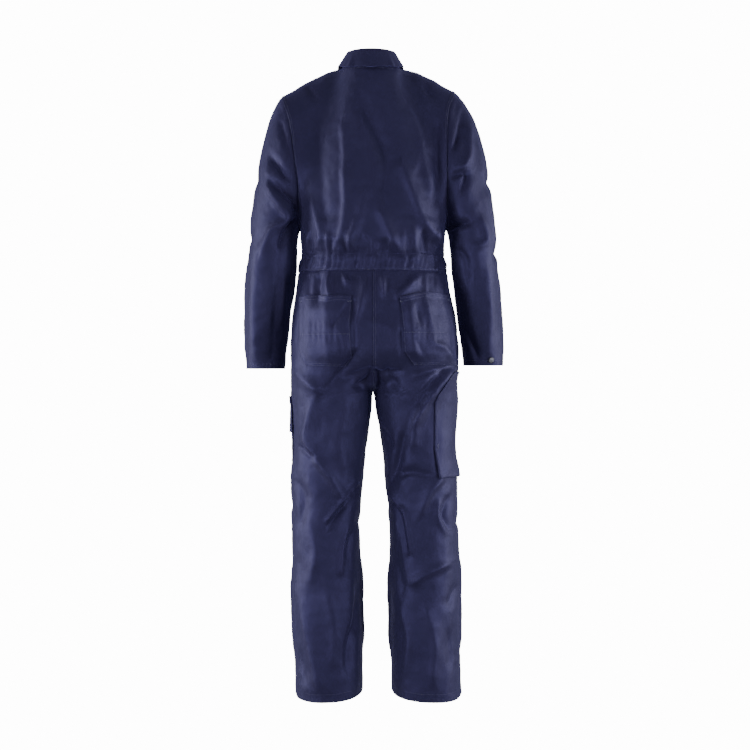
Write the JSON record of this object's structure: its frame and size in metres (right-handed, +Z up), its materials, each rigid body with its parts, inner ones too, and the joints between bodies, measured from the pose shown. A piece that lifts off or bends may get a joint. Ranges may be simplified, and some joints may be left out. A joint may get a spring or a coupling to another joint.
{
  "type": "boiler suit",
  "caption": "Long-sleeved one-piece work suit in its worn hollow shape, with turn-down collar, stud front, gathered back waist and patch pockets",
  "frame": {"origin": "midway between the shoulder points, at the height of the neck seam, where the wearer's shoulders hold the suit up", "axes": "+Z up, +X the wearer's right, +Y the wearer's front"},
  "size_m": [0.6289, 0.3045, 1.5732],
  "materials": {
    "navy_drill": "woven twill, soft satin sheen",
    "stud_metal": "nickel-plated pressed cap"
  },
  "bodies": {
    "root": {"back_bodice": "navy_drill", "front_bodice_left": "navy_drill", "front_bodice_right": "navy_drill", "back_leg_left": "navy_drill", "back_leg_right": "navy_drill", "front_leg_left": "navy_drill", "front_leg_right": "navy_drill", "back_sleeve_left": "navy_drill", "back_sleeve_right": "navy_drill", "front_sleeve_left": "navy_drill", "front_sleeve_right": "navy_drill", "back_waist_casing": "navy_drill", "collar": "navy_drill", "back_pocket_left": "navy_drill", "back_pocket_right": "navy_drill", "thigh_pocket_left": "navy_drill", "thigh_flap_left": "navy_drill", "thigh_pocket_right": "navy_drill", "front_placket": "navy_drill", "placket_stud_1": "stud_metal", "placket_stud_2": "stud_metal", "placket_stud_3": "stud_metal", "placket_stud_4": "stud_metal", "placket_stud_5": "stud_metal", "placket_stud_6": "stud_metal", "placket_stud_7": "stud_metal", "cuff_stud_left": "stud_metal", "cuff_stud_right": "stud_metal"}
  },
  "joints": []
}
